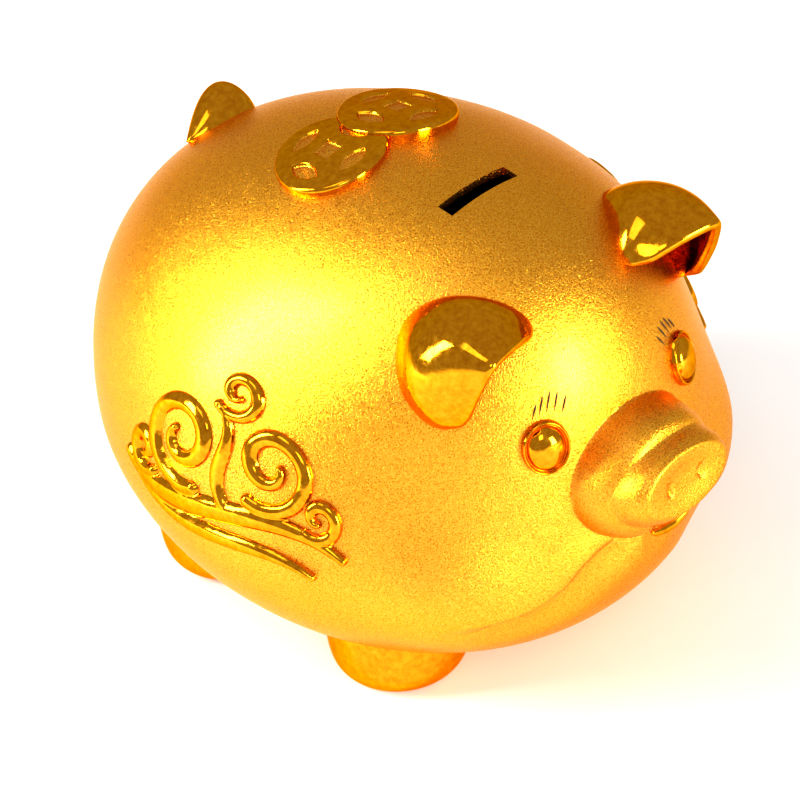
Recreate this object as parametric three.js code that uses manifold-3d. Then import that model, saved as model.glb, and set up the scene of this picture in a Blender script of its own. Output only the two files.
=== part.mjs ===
// A slip-cast ceramic pig money bank, in millimetres, standing on the floor at z = 0 and facing -Y.
// The hollow body carries luted-on ears, feet, tail, eyes, lip, coin medallions and scrollwork,
// and a rubber stopper closes the belly hole through which the coins come out.
import * as THREE from 'three';
import { mergeVertices } from 'three/addons/utils/BufferGeometryUtils.js';
import Module from 'manifold-3d';

const wasm = await Module();
wasm.setup();

// Body: how far the skin reaches from the widest point, in each direction.
const HALF_WIDTH = 96.5;
const FRONT_REACH = 92;
const REAR_REACH = 134.5;
const BACK_RISE = 100.5;
const BELLY_DEPTH = 66;
const BELLY_CLEARANCE = 4.5;
const FOREHEAD_POWER = 2.9;
const REAR_POWER = 2.2;
const BELLY_POWER = 2.08;
const CHIN_POWER = 2.27;
const HEAD_NARROWING = 0.15;
const CHEEK_SWELL = 3.7;
const CHEEK_SPREAD = 0.41;
const WALL = 3;
const JOIN_GAP = 0.35;

// Muzzle and the flat snout disc in front of it.
const MUZZLE_HALF_WIDTH = 27.5;
const MUZZLE_HALF_HEIGHT = 24;
const MUZZLE_BRIDGE_HEIGHT = 24;
const MUZZLE_HEIGHT = 22;
const MUZZLE_RISE = 15.5;
const MUZZLE_TOP = 0.5;
const SNOUT_REACH = 113;
const SNOUT_HEIGHT = 25;
const SNOUT_HALF_WIDTH = 19.4;
const SNOUT_HALF_HEIGHT = 12.6;
const SNOUT_FOOT = 1.32;

// Coin slot, cut square to the skin of the back.
const SLOT_LENGTH = 28.8;
const SLOT_GAP = 6.4;
const SLOT_FORWARD = 29;

// Belly hole and its stopper.
const HOLE_RADIUS = 19;
const HOLE_BACK = 30;
const RECESS_RADIUS = 25.5;
const RECESS_HEIGHT = 7.4;
const SEAT_HEIGHT = 12;
const SEAT_RADIUS = 28;
const STOPPER_TOP = 15;
const STOPPER_GAP = 0.4;
const STOPPER_WALL = 3;
const PULL_BAR_WIDTH = 5;
const PULL_BAR_HEIGHT = 3.6;

// Feet.
const FRONT_FOOT_SIDE = 42;
const FRONT_FOOT_FORWARD = 16;
const REAR_FOOT_SIDE = 38;
const REAR_FOOT_BACK = 72;
const FOOT_RADIUS = 24;

// Medallions.
const COIN_RADIUS = 20;
const COIN_SIDE = 15.5;
const COIN_BACK = 24;
const COIN_THICKNESS = 2.8;
const COIN_RECESS = 1;
const COIN_STEP = 1;
const RELIEF_ROOT = -3;

// Eyes.
const EYE_SIDE = 29.5;
const EYE_RISE = 40;
const EYE_HALF_WIDTH = 7.9;
const EYE_HALF_HEIGHT = 9.2;

// Scrollwork on the flanks.
const SCROLL_RELIEF = 2.1;
const SCROLL_RISE = 35;
const SCROLL_BACK = 4;
const SCROLL_SCALE = 1.08;

const SKIN_COLOR = 0xd9a21b;
const POLISHED_COLOR = 0xe8ac20;
const RUBBER_COLOR = 0xd8d2c4;

const centre = new THREE.Vector3(0, (SNOUT_REACH - REAR_REACH) / 2, BELLY_DEPTH + BELLY_CLEARANCE);
const snoutAxis = new THREE.Vector3(0, -SNOUT_REACH, SNOUT_HEIGHT).normalize();
const cheekAxis = new THREE.Vector3(73, -78, -16).normalize();
const { clamp, lerp, smoothstep } = THREE.MathUtils;

const blasted = () => new THREE.MeshStandardMaterial({ color: SKIN_COLOR, roughness: 0.55, metalness: 1 });
const polished = () => new THREE.MeshStandardMaterial({ color: POLISHED_COLOR, roughness: 0.12, metalness: 1 });
const rubber = () => new THREE.MeshStandardMaterial({ color: RUBBER_COLOR, roughness: 0.8, metalness: 0 });

// ---- Solids -------------------------------------------------------------------------------------

function solidOf(geometry) {
  const bare = geometry.clone();
  bare.deleteAttribute('normal');
  bare.deleteAttribute('uv');
  const merged = mergeVertices(bare, 1e-4);
  return new wasm.Manifold(new wasm.Mesh({
    numProp: 3,
    vertProperties: merged.attributes.position.array,
    triVerts: new Uint32Array(merged.index.array),
  }));
}

function geometryOf(solid) {
  const mesh = solid.getMesh();
  const geometry = new THREE.BufferGeometry();
  geometry.setAttribute('position', new THREE.BufferAttribute(mesh.vertProperties, 3));
  geometry.setIndex(new THREE.BufferAttribute(mesh.triVerts, 1));
  geometry.computeVertexNormals();
  return geometry;
}

function bellyCylinder(radius, bottom, top, sides = 40) {
  const geometry = new THREE.CylinderGeometry(radius, radius, top - bottom, sides);
  geometry.rotateX(Math.PI / 2);
  geometry.translate(0, centre.y + HOLE_BACK, (bottom + top) / 2);
  return solidOf(geometry);
}

// Joins rows of points, closed round and capped by one point at each end, into a closed surface.
function closedRings(first, rings, last) {
  const points = [first, ...rings.flat(), last];
  const sectors = rings[0].length;
  const index = [];
  const at = (ring, sector) => 1 + ring * sectors + (sector % sectors);
  for (let s = 0; s < sectors; s += 1) {
    index.push(0, at(0, s), at(0, s + 1));
    index.push(points.length - 1, at(rings.length - 1, s + 1), at(rings.length - 1, s));
    for (let r = 0; r < rings.length - 1; r += 1) {
      index.push(at(r, s), at(r + 1, s), at(r + 1, s + 1));
      index.push(at(r, s), at(r + 1, s + 1), at(r, s + 1));
    }
  }
  const geometry = new THREE.BufferGeometry().setFromPoints(points);
  geometry.setIndex(index);
  return geometry;
}

// ---- Body skin ----------------------------------------------------------------------------------

// How square the side profile is: the forehead is the fullest part, the belly the roundest.
function profilePower(d) {
  const upper = lerp(REAR_POWER, FOREHEAD_POWER, smoothstep(-d.y, -0.2, 0.2));
  const lower = lerp(BELLY_POWER, CHIN_POWER, smoothstep(-d.y, -0.1, 0.3));
  return lerp(lower, upper, smoothstep(d.z, -0.15, 0.2));
}

// How far a cheek stands out, on either side of the head.
function cheekRise(d) {
  const offCheek = new THREE.Vector3(Math.abs(d.x), d.y, d.z).angleTo(cheekAxis);
  return CHEEK_SWELL * (1 - smoothstep(offCheek, 0, CHEEK_SPREAD));
}

// Distance from the centre to the egg-shaped barrel along a unit direction.
function barrelRadius(d) {
  const power = profilePower(d);
  const length = d.y < 0 ? FRONT_REACH : REAR_REACH;
  const height = d.z > 0 ? BACK_RISE : BELLY_DEPTH;
  const profile = Math.abs(d.y / length) ** power + Math.abs(d.z / height) ** power;
  const forward = smoothstep(-d.y, -0.3, 0.7);
  const raised = smoothstep(d.z, -0.1, 0.5);
  const halfWidth = HALF_WIDTH * (1 - HEAD_NARROWING * forward * (0.3 + 0.7 * raised));
  return 1 / Math.sqrt(profile ** (2 / power) + (d.x / halfWidth) ** 2) + cheekRise(d);
}

// The barrel with the muzzle's dome raised on it: steep at its foot, but easing into the forehead.
function muzzledRadius(d) {
  const radius = barrelRadius(d);
  if (d.y >= 0) {
    return radius;
  }
  const reach = FRONT_REACH / -d.y;
  const over = d.z * reach - MUZZLE_HEIGHT;
  const upward = over / (over > 0 ? MUZZLE_BRIDGE_HEIGHT : MUZZLE_HALF_HEIGHT);
  const away = Math.hypot(d.x * reach / MUZZLE_HALF_WIDTH, upward);
  const slope = clamp((away - MUZZLE_TOP) / (1 - MUZZLE_TOP), 0, 1);
  const ease = lerp(0.85, 1.4, smoothstep(upward, -0.3, 0.6));
  return radius + MUZZLE_RISE * (1 - slope ** 2.1) ** ease;
}

// The whole outer skin: the snout disc is a flat oval face blended into the muzzle.
function skinRadius(d) {
  const radius = muzzledRadius(d);
  if (d.y >= 0) {
    return radius;
  }
  const reach = SNOUT_REACH / -d.y;
  const away = Math.hypot(
    d.x * reach / SNOUT_HALF_WIDTH,
    (d.z * reach - SNOUT_HEIGHT) / SNOUT_HALF_HEIGHT,
  );
  return lerp(reach, radius, smoothstep(away, 1, SNOUT_FOOT));
}

function pointAlong(d, radius) {
  return d.clone().multiplyScalar(radius).add(centre);
}

// The skin's outward normal, from its slope to two neighbouring directions.
function skinNormal(d) {
  const step = 0.01;
  const upright = Math.abs(d.z) > 0.9;
  const side = new THREE.Vector3(0, upright ? 1 : 0, upright ? 0 : 1).cross(d).normalize();
  const other = new THREE.Vector3().crossVectors(d, side);
  const sample = (axis, sign) => {
    const direction = d.clone().addScaledVector(axis, sign * step).normalize();
    return pointAlong(direction, skinRadius(direction));
  };
  const alongSide = sample(side, 1).sub(sample(side, -1));
  const alongOther = sample(other, 1).sub(sample(other, -1));
  return alongSide.cross(alongOther).normalize();
}

// The point at a height above the skin, along the direction from the centre to a place near it.
function aboveSkin(place, height) {
  const d = place.clone().normalize();
  return pointAlong(d, skinRadius(d)).addScaledVector(skinNormal(d), height);
}

const SECTORS = 40;
const FACE_RINGS = [9.3, 10.6, 12, 13.8, 16, 18.5, 21.5, 25, 30, 38];
const SKIN_RINGS = [...FACE_RINGS, 47, 56, 65, 74, 83, 92, 101, 110, 119, 128, 137, 146, 155, 164, 172];
const HOLLOW_RINGS = [12, 17, 24, 36, 47, 56, 65, 74, 83, 92, 101, 110, 119, 128, 137, 146, 155, 164, 172];

// A closed star-shaped surface, in rings round the snout's axis that are as oval as the snout near it.
function skinSurface(radiusOf, ringAngles) {
  const across = new THREE.Vector3(1, 0, 0);
  const upward = new THREE.Vector3().crossVectors(snoutAxis, across);
  const rings = ringAngles.map((degrees) => {
    const polar = THREE.MathUtils.degToRad(degrees);
    const flat = lerp(SNOUT_HALF_HEIGHT / SNOUT_HALF_WIDTH, 1, smoothstep(polar, 0.25, 0.7));
    return Array.from({ length: SECTORS }, (_, sector) => {
      const turn = 2 * Math.PI * sector / SECTORS;
      const d = snoutAxis.clone().multiplyScalar(Math.cos(polar))
        .addScaledVector(across, Math.sin(polar) * Math.cos(turn))
        .addScaledVector(upward, Math.sin(polar) * Math.sin(turn) * flat)
        .normalize();
      return pointAlong(d, radiusOf(d));
    });
  });
  const back = snoutAxis.clone().negate();
  return closedRings(pointAlong(snoutAxis, radiusOf(snoutAxis)), rings, pointAlong(back, radiusOf(back)));
}

// Everything luted on is cut by this skin, which leaves the joint line round its foot.
const cutter = solidOf(skinSurface((d) => skinRadius(d) + JOIN_GAP, SKIN_RINGS));

function lutedOn(geometry) {
  return geometryOf(solidOf(geometry).subtract(cutter));
}

function slotCutter() {
  const place = new THREE.Vector3(0, -SLOT_FORWARD, BACK_RISE);
  const normal = skinNormal(place.clone().normalize());
  const geometry = new THREE.BoxGeometry(SLOT_LENGTH, SLOT_GAP, 10 * WALL);
  geometry.applyQuaternion(new THREE.Quaternion().setFromUnitVectors(new THREE.Vector3(0, 0, 1), normal));
  const middle = aboveSkin(place, 0);
  geometry.translate(middle.x, middle.y, middle.z);
  return solidOf(geometry);
}

function bodyShell() {
  const hollow = solidOf(skinSurface((d) => muzzledRadius(d) - WALL, HOLLOW_RINGS))
    .subtract(bellyCylinder(SEAT_RADIUS, -1, SEAT_HEIGHT));
  return geometryOf(solidOf(skinSurface(skinRadius, SKIN_RINGS))
    .subtract(hollow)
    .subtract(bellyCylinder(HOLE_RADIUS, -1, 2 * SEAT_HEIGHT))
    .subtract(bellyCylinder(RECESS_RADIUS, -1, RECESS_HEIGHT))
    .subtract(slotCutter()));
}

// ---- Stopper ------------------------------------------------------------------------------------

// A soft plug: a thin flange that lies in the recess, a neck in the hole, and a finger bar
// across the mouth of its cup.
function stopper() {
  const neck = HOLE_RADIUS - STOPPER_GAP;
  const flange = RECESS_RADIUS - STOPPER_GAP;
  const flangeTop = RECESS_HEIGHT - STOPPER_GAP;
  const cup = neck - STOPPER_WALL;
  const profile = [
    [0, STOPPER_TOP - STOPPER_WALL], [cup - 1, STOPPER_TOP - STOPPER_WALL], [cup, STOPPER_TOP - STOPPER_WALL - 1],
    [cup, BELLY_CLEARANCE], [flange, BELLY_CLEARANCE], [flange, flangeTop], [neck, flangeTop],
    [neck, STOPPER_TOP - 2], [neck - 2, STOPPER_TOP], [0, STOPPER_TOP],
  ].map(([radius, height]) => new THREE.Vector2(radius, height));
  const turned = new THREE.LatheGeometry(profile, 32);
  turned.rotateX(Math.PI / 2);
  turned.translate(0, centre.y + HOLE_BACK, 0);
  const bar = new THREE.BoxGeometry(2 * cup + 1, PULL_BAR_WIDTH, PULL_BAR_HEIGHT);
  bar.translate(0, centre.y + HOLE_BACK, BELLY_CLEARANCE + PULL_BAR_HEIGHT / 2 + 0.4);
  return geometryOf(solidOf(turned).add(solidOf(bar)));
}

// ---- Feet and tail ------------------------------------------------------------------------------

const FOOT_PROFILE = [[0, 0], [0.5, 0], [0.72, 0.035], [0.88, 0.16], [0.97, 0.38], [1, 0.7], [1, 1.6], [0, 1.6]];

function foot(x, y) {
  const profile = FOOT_PROFILE.map(([radius, height]) => new THREE.Vector2(radius * FOOT_RADIUS, height * FOOT_RADIUS));
  const geometry = new THREE.LatheGeometry(profile, 24);
  geometry.rotateX(Math.PI / 2);
  geometry.translate(x, y, 0);
  return lutedOn(geometry);
}

// A tail curled flat over the rump: a teardrop lying crosswise, blunt and tall at the right end.
const TAIL_BLUNT_END = -13;
const TAIL_LENGTH = 28;
const TAIL_HEIGHT = 12.5;
const TAIL_HALF_DEPTH = 8;
const TAIL_STEPS = 12;
const TAIL_SIDES = 16;
const TAIL_PLACE = new THREE.Vector3(0, 94, 72);

// The teardrop's thickness along its length, 1 at its fullest.
function teardrop(share) {
  return share ** 0.45 * (1 - share) ** 1.1 / 0.393;
}

function tail() {
  const rings = [];
  for (let i = 1; i < TAIL_STEPS; i += 1) {
    const share = (1 - Math.cos(Math.PI * i / TAIL_STEPS)) / 2;
    const full = teardrop(share);
    rings.push(Array.from({ length: TAIL_SIDES }, (_, side) => {
      const turn = 2 * Math.PI * side / TAIL_SIDES;
      return new THREE.Vector3(
        TAIL_BLUNT_END + TAIL_LENGTH * share,
        TAIL_HALF_DEPTH * full ** 0.7 * Math.cos(turn),
        TAIL_HEIGHT * full * Math.sin(turn),
      );
    }));
  }
  const bluntTip = new THREE.Vector3(TAIL_BLUNT_END, 0, 0);
  const thinTip = new THREE.Vector3(TAIL_BLUNT_END + TAIL_LENGTH, 0, 0);
  const geometry = closedRings(bluntTip, rings.map((ring) => ring.reverse()), thinTip);
  const normal = skinNormal(TAIL_PLACE.clone().normalize());
  geometry.applyQuaternion(new THREE.Quaternion().setFromUnitVectors(new THREE.Vector3(0, 0, 1), normal));
  const middle = aboveSkin(TAIL_PLACE, 0);
  geometry.translate(middle.x, middle.y, middle.z);
  return lutedOn(geometry);
}

// ---- Eyes and lip -------------------------------------------------------------------------------

const EYE_PROFILE = [
  [0, -5], [1, -5], [1, 0.6], [0.95, 1.7], [0.86, 2.1], [0.76, 1.7], [0.69, 0.9], [0.62, 1.8], [0.42, 3.2], [0, 3.9],
];

function eye(side) {
  const geometry = new THREE.LatheGeometry(EYE_PROFILE.map(([r, h]) => new THREE.Vector2(r, h)), 20);
  geometry.rotateX(Math.PI / 2);
  geometry.scale(EYE_HALF_WIDTH, EYE_HALF_HEIGHT, 1);
  const place = new THREE.Vector3(side * EYE_SIDE, -80, EYE_RISE);
  const out = skinNormal(place.clone().normalize());
  const across = new THREE.Vector3().crossVectors(new THREE.Vector3(0, 0, 1), out).normalize();
  const upward = new THREE.Vector3().crossVectors(out, across);
  geometry.applyMatrix4(new THREE.Matrix4().makeBasis(across, upward, out));
  const middle = aboveSkin(place, 0);
  geometry.translate(middle.x, middle.y, middle.z);
  return lutedOn(geometry);
}

const LIP_HALF_WIDTH = 7.5;
const LIP_RADIUS = 1.9;
const LIP_RISE = 2.5;

// A thin smiling lip under the snout.
function mouthLip() {
  const places = [-1, -0.5, 0, 0.5, 1].map((t) => {
    const place = new THREE.Vector3(t * LIP_HALF_WIDTH, -FRONT_REACH, LIP_RISE * (1 + t * t));
    return aboveSkin(place, 0.4);
  });
  const circle = new THREE.Shape();
  circle.absarc(0, 0, LIP_RADIUS, 0, 2 * Math.PI);
  const geometry = new THREE.ExtrudeGeometry(circle, {
    extrudePath: new THREE.CatmullRomCurve3(places),
    steps: 12,
    curveSegments: 5,
    bevelEnabled: false,
  });
  return lutedOn(geometry);
}

// ---- Ears ---------------------------------------------------------------------------------------

// A cupped leaf: its back lies between a root line on the head and a free rim.
const EAR_THICKNESS = 4;
const EAR_STEPS_ALONG = 10;
const EAR_STEPS_OUT = 6;
const EAR_SEAT = -6;
const EAR_ROOT = [
  [17, -64, 71], [26, -56, 79], [36, -45, 85], [46, -38, 80], [54, -41, 73], [59, -48, 63], [59, -57, 55], [56, -63, 51],
];
const EAR_RIM = [[21, -74, 77], [36, -80, 83], [50, -83, 84], [54, -79, 73], [54, -74, 62], [54, -69, 54]];
const EAR_CROWN = [
  [21, -70, 85], [36, -61, 99], [49, -56, 98], [63, -57, 89], [69, -57, 76], [67, -60, 64], [59, -65, 53],
];

function earCurve(points) {
  return new THREE.CatmullRomCurve3(points.map((p) => new THREE.Vector3(...p)));
}

const earRoot = earCurve(EAR_ROOT.map((place) => (
  aboveSkin(new THREE.Vector3(...place), EAR_SEAT).sub(centre).toArray()
)));
const earRim = earCurve(EAR_RIM);
const earCrown = earCurve(EAR_CROWN);

// The ear's back at a share of its length and of the way from root to rim.
function earBack(along, out) {
  return new THREE.QuadraticBezierCurve3(
    earRoot.getPoint(along), earCrown.getPoint(along), earRim.getPoint(along),
  ).getPoint(out);
}

function earInside(along, out) {
  const step = 0.02;
  const lengthwise = earBack(Math.min(along + step, 1), out).sub(earBack(Math.max(along - step, 0), out));
  const outward = earBack(along, Math.min(out + step, 1)).sub(earBack(along, Math.max(out - step, 0)));
  return earBack(along, out).addScaledVector(lengthwise.cross(outward).normalize(), EAR_THICKNESS);
}

function ear(side) {
  const rings = [];
  for (let i = 0; i <= EAR_STEPS_ALONG; i += 1) {
    const along = i / EAR_STEPS_ALONG;
    const back = Array.from({ length: EAR_STEPS_OUT + 1 }, (_, j) => earBack(along, j / EAR_STEPS_OUT));
    const inside = Array.from({ length: EAR_STEPS_OUT + 1 }, (_, j) => earInside(along, 1 - j / EAR_STEPS_OUT));
    rings.push([...back, ...inside].map((p) => new THREE.Vector3(side * p.x, p.y, p.z).add(centre)));
  }
  const middleOf = (ring) => ring.reduce((sum, p) => sum.add(p), new THREE.Vector3()).divideScalar(ring.length);
  if (side > 0) {
    rings.forEach((ring) => ring.reverse());
  }
  return lutedOn(closedRings(middleOf(rings[0]), rings, middleOf(rings.at(-1))));
}

// ---- Relief laid on the skin --------------------------------------------------------------------

// Carries a flat relief (x, y in the plane, z up from it) onto the skin at a place on the body.
function laidOn(solid, placeOf) {
  const geometry = geometryOf(solid);
  const position = geometry.attributes.position;
  const point = new THREE.Vector3();
  for (let i = 0; i < position.count; i += 1) {
    point.fromBufferAttribute(position, i);
    const laid = aboveSkin(placeOf(point.x, point.y), point.z);
    position.setXYZ(i, laid.x, laid.y, laid.z);
  }
  return lutedOn(geometry);
}

function slab(shape, bottom, top, curveSegments = 8) {
  const geometry = new THREE.ExtrudeGeometry(shape, { depth: top - bottom, bevelEnabled: false, curveSegments });
  geometry.translate(0, 0, bottom);
  return solidOf(geometry);
}

function disc(x, radius, bottom, top) {
  const shape = new THREE.Shape();
  shape.absarc(x, 0, radius, 0, 2 * Math.PI);
  return slab(shape, bottom, top, 16);
}

// A lens: the shape shared by two equal circles that meet at its tips.
function lens(x, turn) {
  const half = 6.2;
  const bow = 3.1;
  const far = 11.6;
  const shape = new THREE.Shape();
  const out = new THREE.Vector2(Math.cos(turn), Math.sin(turn));
  const along = new THREE.Vector2(-out.y, out.x);
  const place = (a, b) => new THREE.Vector2(x, 0).addScaledVector(out, far + b).addScaledVector(along, a);
  shape.moveTo(...place(-half, 0));
  shape.quadraticCurveTo(...place(0, -2 * bow), ...place(half, 0));
  shape.quadraticCurveTo(...place(0, 2 * bow), ...place(-half, 0));
  return shape;
}

function squareHole(x) {
  const half = 3.6;
  const shape = new THREE.Shape();
  shape.moveTo(x + half, half);
  shape.lineTo(x - half, half);
  shape.lineTo(x - half, -half);
  shape.lineTo(x + half, -half);
  return shape;
}

function coin(x, top) {
  let solid = disc(x, COIN_RADIUS, RELIEF_ROOT, top);
  for (let quarter = 0; quarter < 4; quarter += 1) {
    solid = solid.subtract(slab(lens(x, quarter * Math.PI / 2), top - COIN_RECESS, top + 1, 4));
  }
  return solid.subtract(slab(squareHole(x), top - COIN_RECESS, top + 1));
}

function onBack(x, y) {
  return new THREE.Vector3(x, COIN_BACK + y, BACK_RISE);
}

// The left coin overlaps the right one, so the right one is cut back round it.
function coinLeft() {
  return laidOn(coin(COIN_SIDE, COIN_THICKNESS + COIN_STEP), onBack);
}

function coinRight() {
  const under = coin(-COIN_SIDE, COIN_THICKNESS)
    .subtract(disc(COIN_SIDE, COIN_RADIUS + JOIN_GAP, 2 * RELIEF_ROOT, 2 * COIN_THICKNESS));
  return laidOn(under, onBack);
}

// ---- Scrollwork ---------------------------------------------------------------------------------

// One brush-like stroke of the scrollwork: a path with a half-width that swells in the middle.
function stroke(path, width, steps) {
  const left = [];
  const right = [];
  for (let i = 0; i <= steps; i += 1) {
    const t = i / steps;
    const half = width * (0.45 + 0.55 * Math.sin(Math.PI * Math.min(0.15 + 0.85 * t, 1)));
    const point = path.getPoint(t);
    const tangent = path.getTangent(t);
    left.push(new THREE.Vector2(point.x - tangent.y * half, point.y + tangent.x * half));
    right.unshift(new THREE.Vector2(point.x + tangent.y * half, point.y - tangent.x * half));
  }
  return slab(new THREE.Shape([...left, ...right]), RELIEF_ROOT, SCROLL_RELIEF);
}

// A curl that winds inwards from its foot.
class Curl extends THREE.Curve {
  constructor(x, y, radius, start, turns) {
    super();
    Object.assign(this, { x, y, radius, start, turns });
  }

  getPoint(t, target = new THREE.Vector2()) {
    const angle = this.start + 2 * Math.PI * this.turns * t;
    const radius = this.radius * (1 - 0.78 * t);
    return target.set(this.x + radius * Math.cos(angle), this.y + radius * Math.sin(angle));
  }
}

function ribbon(...points) {
  return new THREE.CubicBezierCurve(...points.map(([x, y]) => new THREE.Vector2(x, y)));
}

function scrollwork() {
  const strokes = [
    stroke(new Curl(19.5, 2.5, 16.5, -2.05, 1.35), 3.4, 16),
    stroke(new Curl(-17.5, -1, 17.5, -1.15, -1.4), 3.5, 16),
    stroke(new Curl(2, 25, 10.5, -2.3, 1.2), 2.9, 11),
    stroke(new Curl(-37, -14, 8.5, -0.9, -1.1), 2.8, 9),
    stroke(new Curl(39, -11, 8.5, -2.3, 1.1), 2.8, 9),
    stroke(ribbon([-48, -21], [-22, -36], [18, -3], [48, -25]), 4, 12),
    stroke(ribbon([-38, -26], [-12, -38], [12, -20], [36, -33]), 3, 9),
    stroke(ribbon([3, -17], [-7, -6], [8, 4], [-3, 17]), 2.8, 7),
  ];
  return strokes.reduce((whole, piece) => whole.add(piece));
}

function flankScroll(side) {
  const flat = scrollwork();
  const geometry = laidOn(flat, (u, v) => new THREE.Vector3(
    -HALF_WIDTH, SCROLL_BACK - SCROLL_SCALE * u, SCROLL_RISE + SCROLL_SCALE * v,
  ));
  if (side > 0) {
    geometry.scale(-1, 1, 1);
    const index = geometry.index.array;
    for (let i = 0; i < index.length; i += 3) {
      [index[i], index[i + 1]] = [index[i + 1], index[i]];
    }
    geometry.computeVertexNormals();
  }
  return geometry;
}

// ---- Assembly -----------------------------------------------------------------------------------

const group = new THREE.Group();

function add(name, geometry, material) {
  const mesh = new THREE.Mesh(geometry, material);
  mesh.name = name;
  group.add(mesh);
}

add('body_shell', bodyShell(), blasted());
add('belly_stopper', stopper(), rubber());
for (const [sideName, side] of [['left', 1], ['right', -1]]) {
  add(`ear_${sideName}`, ear(side), polished());
  add(`eye_${sideName}`, eye(side), polished());
  add(`front_${sideName}_foot`, foot(side * FRONT_FOOT_SIDE, centre.y - FRONT_FOOT_FORWARD), polished());
  add(`rear_${sideName}_foot`, foot(side * REAR_FOOT_SIDE, centre.y + REAR_FOOT_BACK), polished());
  add(`flank_scroll_${sideName}`, flankScroll(side), polished());
}
add('coin_medallion_left', coinLeft(), polished());
add('coin_medallion_right', coinRight(), polished());
add('tail', tail(), polished());
add('mouth_lip', mouthLip(), polished());

export default group;
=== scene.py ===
"""The looks of a slip-cast gold pig money bank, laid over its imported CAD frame.

The object stands on the floor at z = 0 and faces -Y. Its own sizes are in millimetres, measured
from the middle of the body, and every mesh is made in metres.
"""

import math

import bpy
import numpy as np
from mathutils import Matrix, Vector


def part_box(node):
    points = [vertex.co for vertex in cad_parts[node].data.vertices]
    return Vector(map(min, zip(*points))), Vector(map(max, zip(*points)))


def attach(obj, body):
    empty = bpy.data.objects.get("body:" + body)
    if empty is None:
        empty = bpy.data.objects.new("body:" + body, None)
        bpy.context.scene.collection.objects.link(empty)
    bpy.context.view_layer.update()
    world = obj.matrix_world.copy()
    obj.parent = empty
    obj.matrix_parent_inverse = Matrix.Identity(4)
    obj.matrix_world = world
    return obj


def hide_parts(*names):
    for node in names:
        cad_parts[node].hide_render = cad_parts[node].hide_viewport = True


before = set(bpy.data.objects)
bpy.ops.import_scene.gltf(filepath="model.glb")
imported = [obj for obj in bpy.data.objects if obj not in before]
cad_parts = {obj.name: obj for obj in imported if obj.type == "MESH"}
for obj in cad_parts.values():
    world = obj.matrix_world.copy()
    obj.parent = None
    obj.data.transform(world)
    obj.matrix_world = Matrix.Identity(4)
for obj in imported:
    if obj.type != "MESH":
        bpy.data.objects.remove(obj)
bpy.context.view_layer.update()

MM = 0.001
SIDES = {"left": 1, "right": -1}

# Body: how far the skin reaches from the middle, in each direction.
HALF_WIDTH = 96.5
FRONT_REACH = 92
REAR_REACH = 134.5
BACK_RISE = 100.5
BELLY_DEPTH = 66
WALL = 3

# Powers of the side outline, where 2 is an ellipse and more is squarer.
FOREHEAD_POWER = 2.9
REAR_POWER = 2.2
BELLY_POWER = 2.08
CHIN_POWER = 2.27

# The head's narrowing, as a share of the half-width, and the swell of each cheek.
HEAD_NARROWING = 0.15
LOW_NARROWING = 0.3
CHEEK_SWELL = 3.7
CHEEK_SPREAD = 0.41
CHEEK_PLACE = (73, -78, -16)

# Where one form passes into the next, in the forward or upward part of a unit direction.
FOREHEAD_BLEND = (-0.2, 0.2)
CHIN_BLEND = (-0.1, 0.3)
UPPER_BLEND = (-0.15, 0.2)
FORWARD_BLEND = (-0.3, 0.7)
RAISED_BLEND = (-0.1, 0.5)
NEAR_ZERO = 1e-3

# Muzzle and snout.
MUZZLE_HALF_WIDTH = 27.5
MUZZLE_HALF_HEIGHT = 24
MUZZLE_BRIDGE_HEIGHT = 24
MUZZLE_HEIGHT = 22
MUZZLE_RISE = 15.5
MUZZLE_TOP = 0.5
MUZZLE_POWER = 2.1
MUZZLE_FOOT_EASE = 0.85
MUZZLE_BRIDGE_EASE = 1.4
MUZZLE_EASE_BLEND = (-0.3, 0.6)
SNOUT_REACH = 113
SNOUT_HEIGHT = 25
SNOUT_HALF_WIDTH = 19.4
SNOUT_HALF_HEIGHT = 12.6
SNOUT_EDGE = 0.97
SNOUT_FOOT = 1.32

shell_low, shell_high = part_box("body_shell")
CENTRE = np.array([0, shell_high.y / MM - REAR_REACH, shell_high.z / MM - BACK_RISE])
BELLY_FLOOR = -CENTRE[2]
snout_axis = np.array([0, -SNOUT_REACH, SNOUT_HEIGHT]) / math.hypot(SNOUT_REACH, SNOUT_HEIGHT)


# ---- Small tools --------------------------------------------------------------------------------

def smoothstep(value, low, high):
    share = np.clip((value - low) / (high - low), 0, 1)
    return share * share * (3 - 2 * share)


def mix(low, high, share):
    return low + (high - low) * share


def unit(vectors):
    vectors = np.asarray(vectors, float)
    return vectors / np.linalg.norm(vectors, axis=-1, keepdims=True)


def full_turn(steps):
    """Angles spread evenly round a full turn."""
    return np.linspace(0, 2 * np.pi, steps, endpoint=False)


def curve_points(points, shares):
    """Points of a smooth curve through the given points, at shares 0 to 1 of its length."""
    points = np.asarray(points, float)
    padded = np.vstack([2 * points[0] - points[1], points, 2 * points[-1] - points[-2]])
    place = np.clip(np.asarray(shares, float), 0, 1) * (len(points) - 1)
    start = np.minimum(place.astype(int), len(points) - 2)
    t = (place - start)[..., None]
    before, here, after, beyond = (padded[start + step] for step in range(4))
    leave = (after - before) / 2
    arrive = (beyond - here) / 2
    return (
        here * (2 * t**3 - 3 * t**2 + 1)
        + leave * (t**3 - 2 * t**2 + t)
        + after * (-2 * t**3 + 3 * t**2)
        + arrive * (t**3 - t**2)
    )


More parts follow.
